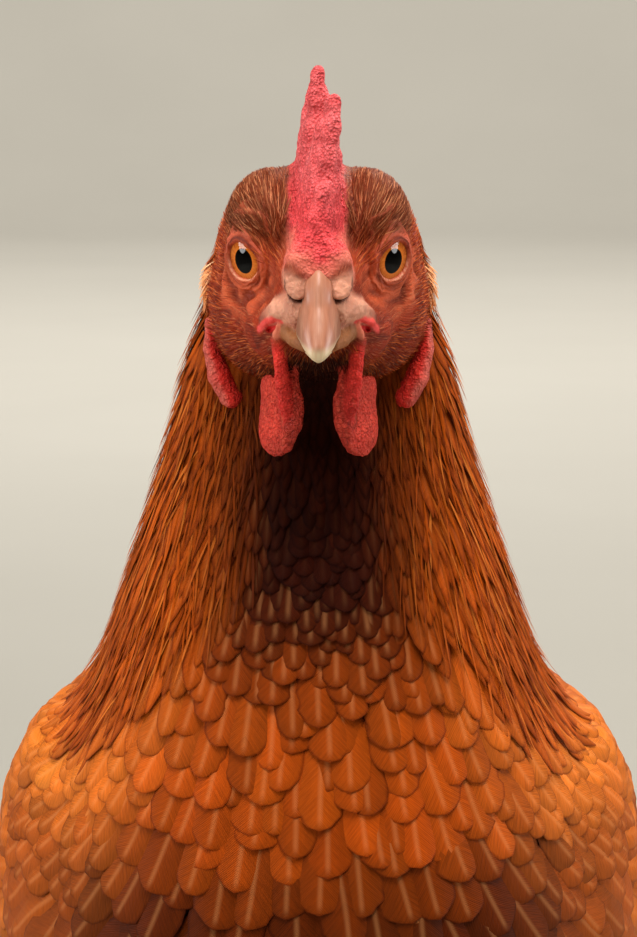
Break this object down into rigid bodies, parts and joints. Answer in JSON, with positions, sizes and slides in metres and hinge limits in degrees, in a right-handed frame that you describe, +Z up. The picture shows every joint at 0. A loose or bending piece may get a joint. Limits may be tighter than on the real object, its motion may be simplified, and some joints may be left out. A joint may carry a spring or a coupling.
{
  "type": "laying hen figure",
  "caption": "Life-size still figure of a red-brown laying hen standing alert on both feet, with a single comb, wattles, folded wings and a raised fan tail",
  "frame": {"origin": "on the floor under the middle of the hen's length and width, where its soles stand", "axes": "+Z is up, the hen faces -Y and its left side is +X"},
  "size_m": [0.1662, 0.3534, 0.4254],
  "materials": {
    "face": "bare pink-red skin under short brown bristle feathers, matt",
    "horn": "pale pinkish-brown horn, satin, lighter at the tip",
    "red_skin": "bright red granular skin, satin",
    "hackle": "narrow glossy red-brown hackle feathers with lighter shafts",
    "plumage": "rounded red-brown feathers with pale shafts and darker rims, soft sheen",
    "tail_feather": "long firm red-brown feathers, darker towards the tips",
    "eye": "wet orange iris round a black pupil",
    "scale": "yellow overlapping leg scales, satin",
    "claw": "pale horn, satin"
  },
  "bodies": {
    "root": {"head": "face", "beak_upper": "horn", "beak_lower": "horn", "comb": "red_skin", "neck": "hackle", "trunk": "plumage", "tail": "tail_feather", "wing_left": "plumage", "wing_right": "plumage", "eye_left": "eye", "eye_right": "eye", "wattle_left": "red_skin", "wattle_right": "red_skin", "ear_lobe_left": "red_skin", "ear_lobe_right": "red_skin", "thigh_left": "plumage", "thigh_right": "plumage", "shank_left": "scale", "shank_right": "scale", "toe_inner_left": "scale", "toe_middle_left": "scale", "toe_outer_left": "scale", "toe_hind_left": "scale", "toe_inner_right": "scale", "toe_middle_right": "scale", "toe_outer_right": "scale", "toe_hind_right": "scale", "claw_inner_left": "claw", "claw_middle_left": "claw", "claw_outer_left": "claw", "claw_hind_left": "claw", "claw_inner_right": "claw", "claw_middle_right": "claw", "claw_outer_right": "claw", "claw_hind_right": "claw"}
  },
  "joints": []
}
